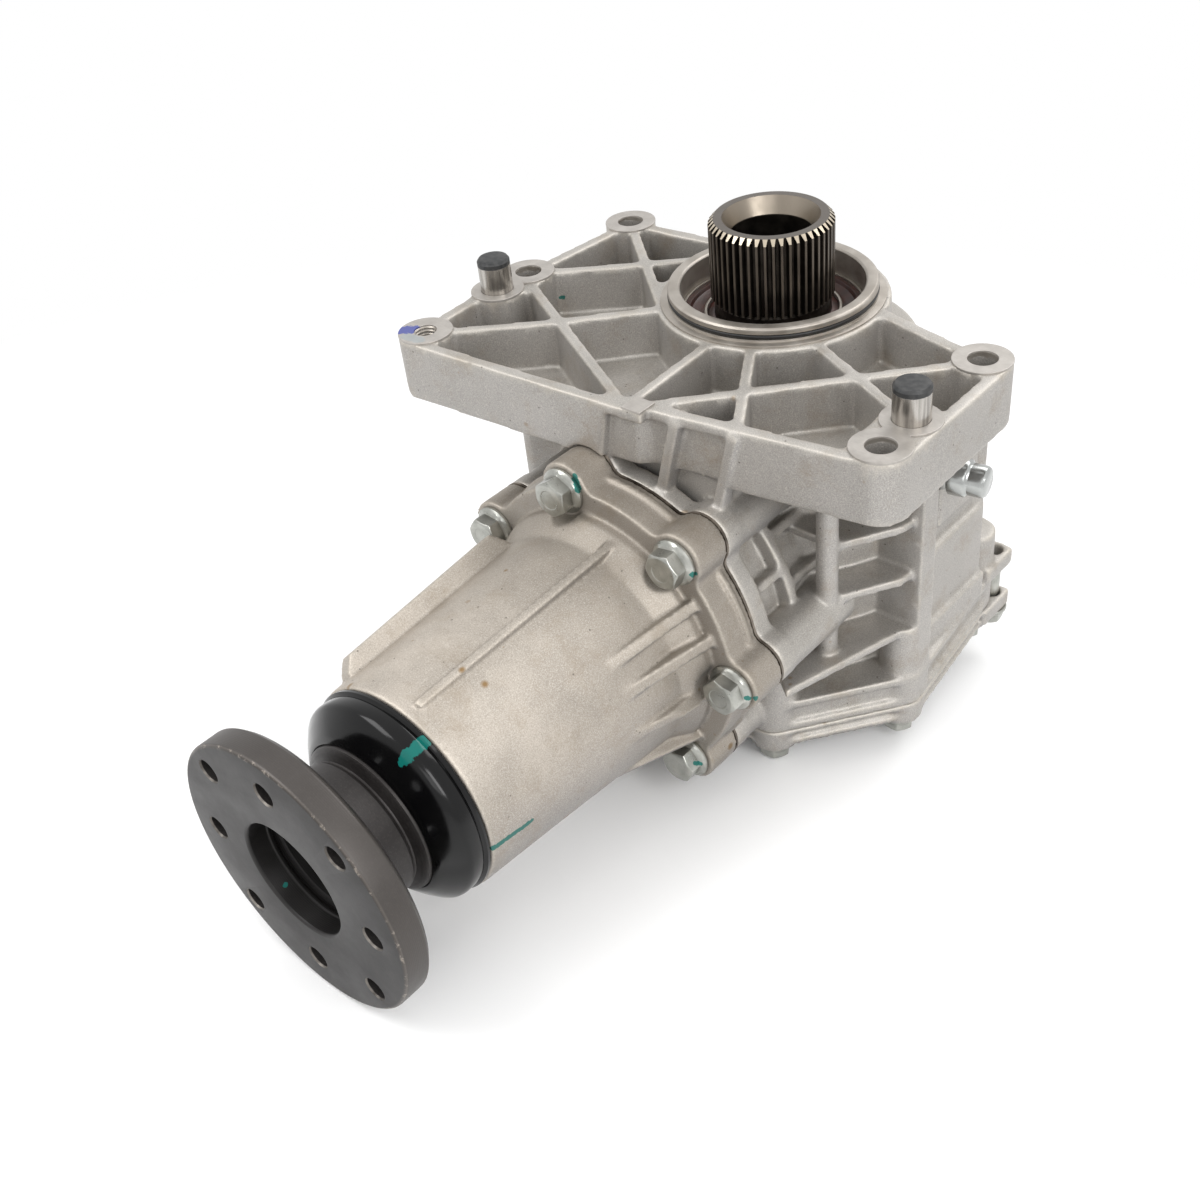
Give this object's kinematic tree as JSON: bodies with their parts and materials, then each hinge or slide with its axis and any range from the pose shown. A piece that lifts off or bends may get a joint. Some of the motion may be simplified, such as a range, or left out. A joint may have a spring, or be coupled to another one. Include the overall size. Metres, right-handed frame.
{
  "type": "transfer case",
  "caption": "Right-angle transfer case with a ribbed mounting plate, hollow splined input shaft, bevel gears and a long output housing that ends in a bolt flange.",
  "frame": {"origin": "input shaft axis where it meets the plate's machined mounting face", "axes": "+Z along the input shaft, out of the mounting face; the output flange faces -Y"},
  "size_m": [0.2268, 0.3791, 0.2092],
  "materials": {
    "case_casting": "satin",
    "cover_casting": "satin",
    "housing_casting": "satin",
    "shim_steel": "satin",
    "zinc_steel": "satin",
    "ground_steel": "polished",
    "black_rubber": "matte",
    "brown_rubber": "matte",
    "spline_steel": "satin",
    "gear_steel": "satin",
    "phosphated_steel": "matte",
    "black_enamel": "gloss",
    "bearing_steel": "polished",
    "cage_steel": "satin",
    "plug_steel": "satin",
    "washer_aluminium": "satin"
  },
  "bodies": {
    "case": {"main_case": "case_casting", "bottom_cover": "cover_casting", "output_housing": "housing_casting", "output_shim": "shim_steel", "housing_bolts": "zinc_steel", "cover_bolts": "zinc_steel", "dowel_pins": "ground_steel", "spigot_o_ring": "black_rubber", "input_seal": "brown_rubber", "output_seal": "black_rubber", "half_shaft_seal": "black_rubber", "filler_plug": "plug_steel", "drain_plug": "plug_steel", "plug_washers": "washer_aluminium", "breather_body": "zinc_steel", "breather_cap": "zinc_steel", "upper_bearing_cup": "bearing_steel", "lower_bearing_cup": "bearing_steel", "head_bearing_cup": "bearing_steel", "tail_bearing_cup": "bearing_steel"},
    "input_rotor": {"input_shaft": "spline_steel", "ring_gear": "gear_steel", "ring_gear_bolts": "zinc_steel", "upper_bearing_cone": "bearing_steel", "upper_bearing_rollers": "bearing_steel", "upper_bearing_cage": "cage_steel", "lower_bearing_cone": "bearing_steel", "lower_bearing_rollers": "bearing_steel", "lower_bearing_cage": "cage_steel"},
    "output_rotor": {"pinion_shaft": "gear_steel", "head_bearing_cone": "bearing_steel", "head_bearing_rollers": "bearing_steel", "head_bearing_cage": "cage_steel", "tail_bearing_cone": "bearing_steel", "tail_bearing_rollers": "bearing_steel", "tail_bearing_cage": "cage_steel", "crush_sleeve": "cage_steel", "output_flange": "phosphated_steel", "dust_shield": "black_enamel", "pinion_nut": "zinc_steel"}
  },
  "joints": [
    {"name": "input_spin", "type": "hinge", "parent": "case", "child": "input_rotor", "pos_m": [0, 0, 0], "axis": [0, 0, 1], "continuous": true},
    {"name": "output_spin", "type": "hinge", "parent": "case", "child": "output_rotor", "pos_m": [0, 0, -0.0973], "axis": [0, -1, 0], "continuous": true}
  ],
  "couplings": [
    {"joint": "output_spin", "follows": "input_spin", "ratio": 2.5333}
  ]
}
